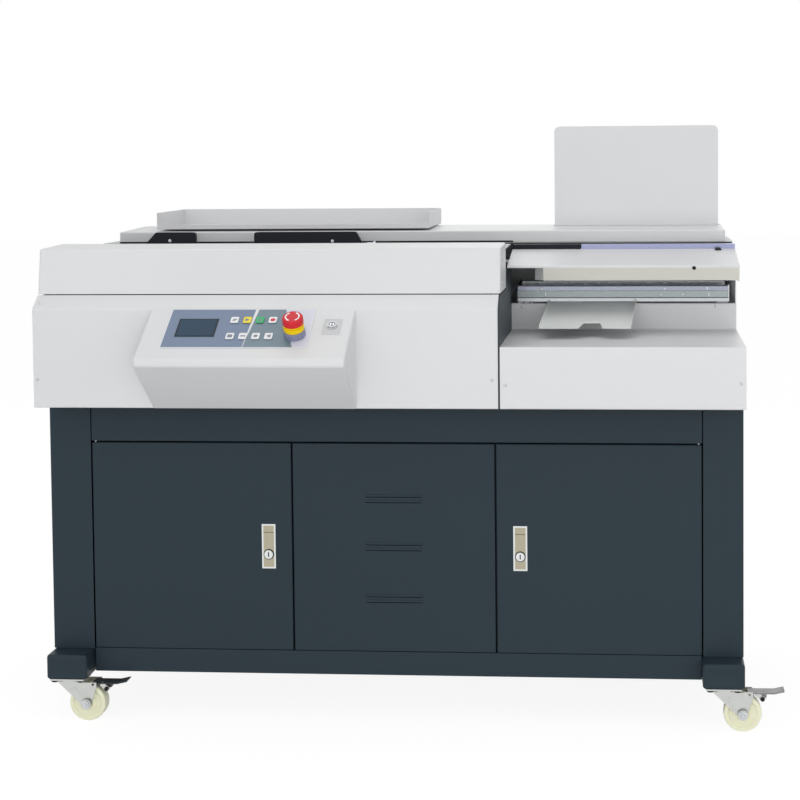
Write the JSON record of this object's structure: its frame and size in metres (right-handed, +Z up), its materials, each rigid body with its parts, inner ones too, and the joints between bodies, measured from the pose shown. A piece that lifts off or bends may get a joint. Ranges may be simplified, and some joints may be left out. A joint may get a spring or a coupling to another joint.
{
  "type": "perfect binding machine",
  "caption": "Floor-standing perfect binding machine: a castored cabinet with hinged doors under a body with a book clamp, milling, gluing and nipping units and a hinged lid.",
  "frame": {"origin": "on the floor, below the middle of the whole machine's extent", "axes": "+X to the operator's right, +Y away from the operator, +Z up"},
  "size_m": [1.467, 0.884, 1.1935],
  "materials": {
    "slate_paint": "satin powder coat",
    "pale_paint": "satin powder coat",
    "grey_paint": "satin powder coat",
    "bright_steel": "ground",
    "dark_plate": "dark passivated",
    "zinc_plate": "zinc plated",
    "satin_nickel": "satin nickel",
    "ivory_nylon": "cast nylon",
    "black_plate": "black satin",
    "keypad_blue": "membrane film",
    "stop_red": "moulded",
    "collar_yellow": "moulded",
    "chute_grey": "satin paint",
    "unit_grey": "machine enamel",
    "bin_grey": "matt paint",
    "key_white": "moulded",
    "key_green": "moulded",
    "key_yellow": "moulded"
  },
  "bodies": {
    "root": {"book_tray": "pale_paint", "cabinet_frame": "slate_paint", "cabinet_side_left": "slate_paint", "cabinet_side_right": "slate_paint", "centre_panel": "slate_paint", "chute": "chute_grey", "control_box": "pale_paint", "cover_fence": "pale_paint", "cutter_motor": "unit_grey", "deck_left": "grey_paint", "deck_right": "pale_paint", "dust_bin": "bin_grey", "electrics_box": "unit_grey", "estop_body": "collar_yellow", "extractor": "zinc_plate", "foot_left": "slate_paint", "foot_right": "slate_paint", "front_cover_left": "pale_paint", "front_cover_right": "pale_paint", "glue_tank": "unit_grey", "guide_shaft": "bright_steel", "key_panel": "keypad_blue", "mid_plate": "dark_plate", "nip_table": "bright_steel", "rear_cover": "grey_paint", "rear_housing": "pale_paint", "side_cover_left": "pale_paint", "side_cover_right": "pale_paint"},
    "door_left": {"door_left": "slate_paint"},
    "lock_left": {"lock_cylinder_left": "satin_nickel"},
    "door_right": {"door_right": "slate_paint"},
    "lock_right": {"lock_cylinder_right": "satin_nickel"},
    "front_lid": {"front_lid": "pale_paint"},
    "caster_front_left": {"caster_fork_front_left": "zinc_plate"},
    "wheel_front_left": {"caster_wheel_front_left": "ivory_nylon"},
    "pedal_left": {"caster_pedal_left": "dark_plate"},
    "caster_front_right": {"caster_fork_front_right": "zinc_plate"},
    "wheel_front_right": {"caster_wheel_front_right": "ivory_nylon"},
    "pedal_right": {"caster_pedal_right": "dark_plate"},
    "caster_rear_left": {"caster_fork_rear_left": "zinc_plate"},
    "wheel_rear_left": {"caster_wheel_rear_left": "ivory_nylon"},
    "caster_rear_right": {"caster_fork_rear_right": "zinc_plate"},
    "wheel_rear_right": {"caster_wheel_rear_right": "ivory_nylon"},
    "key_1": {"key_1": "key_white"},
    "key_2": {"key_2": "key_yellow"},
    "key_3": {"key_3": "key_green"},
    "key_4": {"key_4": "key_white"},
    "key_5": {"key_5": "key_white"},
    "key_6": {"key_6": "key_white"},
    "key_7": {"key_7": "key_white"},
    "key_8": {"key_8": "key_white"},
    "stop_button": {"estop_head": "stop_red"},
    "key_switch": {"key_switch": "satin_nickel"},
    "clamp_carriage": {"clamp_carriage": "bright_steel"},
    "clamp_jaw": {"clamp_jaw": "black_plate"},
    "milling_cutter": {"cutter": "bright_steel"},
    "roller_first": {"glue_roller_first": "bright_steel"},
    "roller_second": {"glue_roller_second": "bright_steel"},
    "nip_jaw": {"nip_jaw": "bright_steel"}
  },
  "joints": [
    {"name": "door_left_hinge", "type": "hinge", "parent": "root", "child": "door_left", "pos_m": [-0.6485, -0.212, 0.35], "axis": [0, 0, -1], "range_deg": [0, 110]},
    {"name": "lock_left_turn", "type": "hinge", "parent": "door_left", "child": "lock_left", "pos_m": [-0.28867, -0.2172, 0.3351], "axis": [0, 1, 0], "range_deg": [0, 90]},
    {"name": "door_right_hinge", "type": "hinge", "parent": "root", "child": "door_right", "pos_m": [0.5765, -0.212, 0.35], "axis": [0, 0, 1], "range_deg": [0, 110]},
    {"name": "lock_right_turn", "type": "hinge", "parent": "door_right", "child": "lock_right", "pos_m": [0.21667, -0.2172, 0.3351], "axis": [0, 1, 0], "range_deg": [0, 90]},
    {"name": "front_lid_hinge", "type": "hinge", "parent": "root", "child": "front_lid", "pos_m": [-0.2385, -0.1127, 0.94375], "axis": [-1, 0, 0], "range_deg": [0, 80]},
    {"name": "caster_front_left_swivel", "type": "hinge", "parent": "root", "child": "caster_front_left", "pos_m": [-0.6925, -0.232, 0.0845], "axis": [0, 0, 1], "continuous": true},
    {"name": "wheel_front_left_roll", "type": "hinge", "parent": "caster_front_left", "child": "wheel_front_left", "pos_m": [-0.6555, -0.232, 0.037], "axis": [0, 1, 0], "continuous": true},
    {"name": "pedal_left_press", "type": "hinge", "parent": "caster_front_left", "child": "pedal_left", "pos_m": [-0.6425, -0.232, 0.0757], "axis": [0, 1, 0], "range_deg": [0, 8]},
    {"name": "caster_front_right_swivel", "type": "hinge", "parent": "root", "child": "caster_front_right", "pos_m": [0.6155, -0.232, 0.0845], "axis": [0, 0, 1], "continuous": true},
    {"name": "wheel_front_right_roll", "type": "hinge", "parent": "caster_front_right", "child": "wheel_front_right", "pos_m": [0.6525, -0.232, 0.037], "axis": [0, 1, 0], "continuous": true},
    {"name": "pedal_right_press", "type": "hinge", "parent": "caster_front_right", "child": "pedal_right", "pos_m": [0.6655, -0.232, 0.0757], "axis": [0, 1, 0], "range_deg": [0, 8]},
    {"name": "caster_rear_left_swivel", "type": "hinge", "parent": "root", "child": "caster_rear_left", "pos_m": [-0.6925, 0.357, 0.0845], "axis": [0, 0, 1], "continuous": true},
    {"name": "wheel_rear_left_roll", "type": "hinge", "parent": "caster_rear_left", "child": "wheel_rear_left", "pos_m": [-0.6555, 0.357, 0.037], "axis": [0, 1, 0], "continuous": true},
    {"name": "caster_rear_right_swivel", "type": "hinge", "parent": "root", "child": "caster_rear_right", "pos_m": [0.6155, 0.357, 0.0845], "axis": [0, 0, 1], "continuous": true},
    {"name": "wheel_rear_right_roll", "type": "hinge", "parent": "caster_rear_right", "child": "wheel_rear_right", "pos_m": [0.6525, 0.357, 0.037], "axis": [0, 1, 0], "continuous": true},
    {"name": "key_1_press", "type": "slide", "parent": "root", "child": "key_1", "axis": [0, 0.5085, -0.8611], "range_m": [0, 0.0012], "stiffness_N_per_m": 300},
    {"name": "key_2_press", "type": "slide", "parent": "root", "child": "key_2", "axis": [0, 0.5085, -0.8611], "range_m": [0, 0.0012], "stiffness_N_per_m": 300},
    {"name": "key_3_press", "type": "slide", "parent": "root", "child": "key_3", "axis": [0, 0.5085, -0.8611], "range_m": [0, 0.0012], "stiffness_N_per_m": 300},
    {"name": "key_4_press", "type": "slide", "parent": "root", "child": "key_4", "axis": [0, 0.5085, -0.8611], "range_m": [0, 0.0012], "stiffness_N_per_m": 300},
    {"name": "key_5_press", "type": "slide", "parent": "root", "child": "key_5", "axis": [0, 0.5085, -0.8611], "range_m": [0, 0.0012], "stiffness_N_per_m": 300},
    {"name": "key_6_press", "type": "slide", "parent": "root", "child": "key_6", "axis": [0, 0.5085, -0.8611], "range_m": [0, 0.0012], "stiffness_N_per_m": 300},
    {"name": "key_7_press", "type": "slide", "parent": "root", "child": "key_7", "axis": [0, 0.5085, -0.8611], "range_m": [0, 0.0012], "stiffness_N_per_m": 300},
    {"name": "key_8_press", "type": "slide", "parent": "root", "child": "key_8", "axis": [0, 0.5085, -0.8611], "range_m": [0, 0.0012], "stiffness_N_per_m": 300},
    {"name": "stop_button_press", "type": "slide", "parent": "root", "child": "stop_button", "axis": [0, 0.5085, -0.8611], "range_m": [0, 0.005], "stiffness_N_per_m": 800},
    {"name": "key_switch_turn", "type": "hinge", "parent": "root", "child": "key_switch", "pos_m": [-0.1307, -0.34426, 0.79566], "axis": [0, -0.5085, 0.8611], "range_deg": [0, 90]},
    {"name": "carriage_travel", "type": "slide", "parent": "root", "child": "clamp_carriage", "axis": [1, 0, 0], "range_m": [0, 0.78]},
    {"name": "clamp_close", "type": "slide", "parent": "clamp_carriage", "child": "clamp_jaw", "axis": [0, 1, 0], "range_m": [0, 0.045]},
    {"name": "cutter_spin", "type": "hinge", "parent": "root", "child": "milling_cutter", "pos_m": [-0.0585, 0.1415, 0.851], "axis": [0, 0, 1], "continuous": true},
    {"name": "roller_first_turn", "type": "hinge", "parent": "root", "child": "roller_first", "pos_m": [0.0605, 0.0915, 0.839], "axis": [0, 1, 0], "continuous": true},
    {"name": "roller_second_turn", "type": "hinge", "parent": "root", "child": "roller_second", "pos_m": [0.1185, 0.0915, 0.839], "axis": [0, 1, 0], "continuous": true},
    {"name": "nip_close", "type": "slide", "parent": "root", "child": "nip_jaw", "axis": [0, 1, 0], "range_m": [0, 0.095]}
  ],
  "couplings": [
    {"joint": "roller_second_turn", "follows": "roller_first_turn", "ratio": 1}
  ]
}
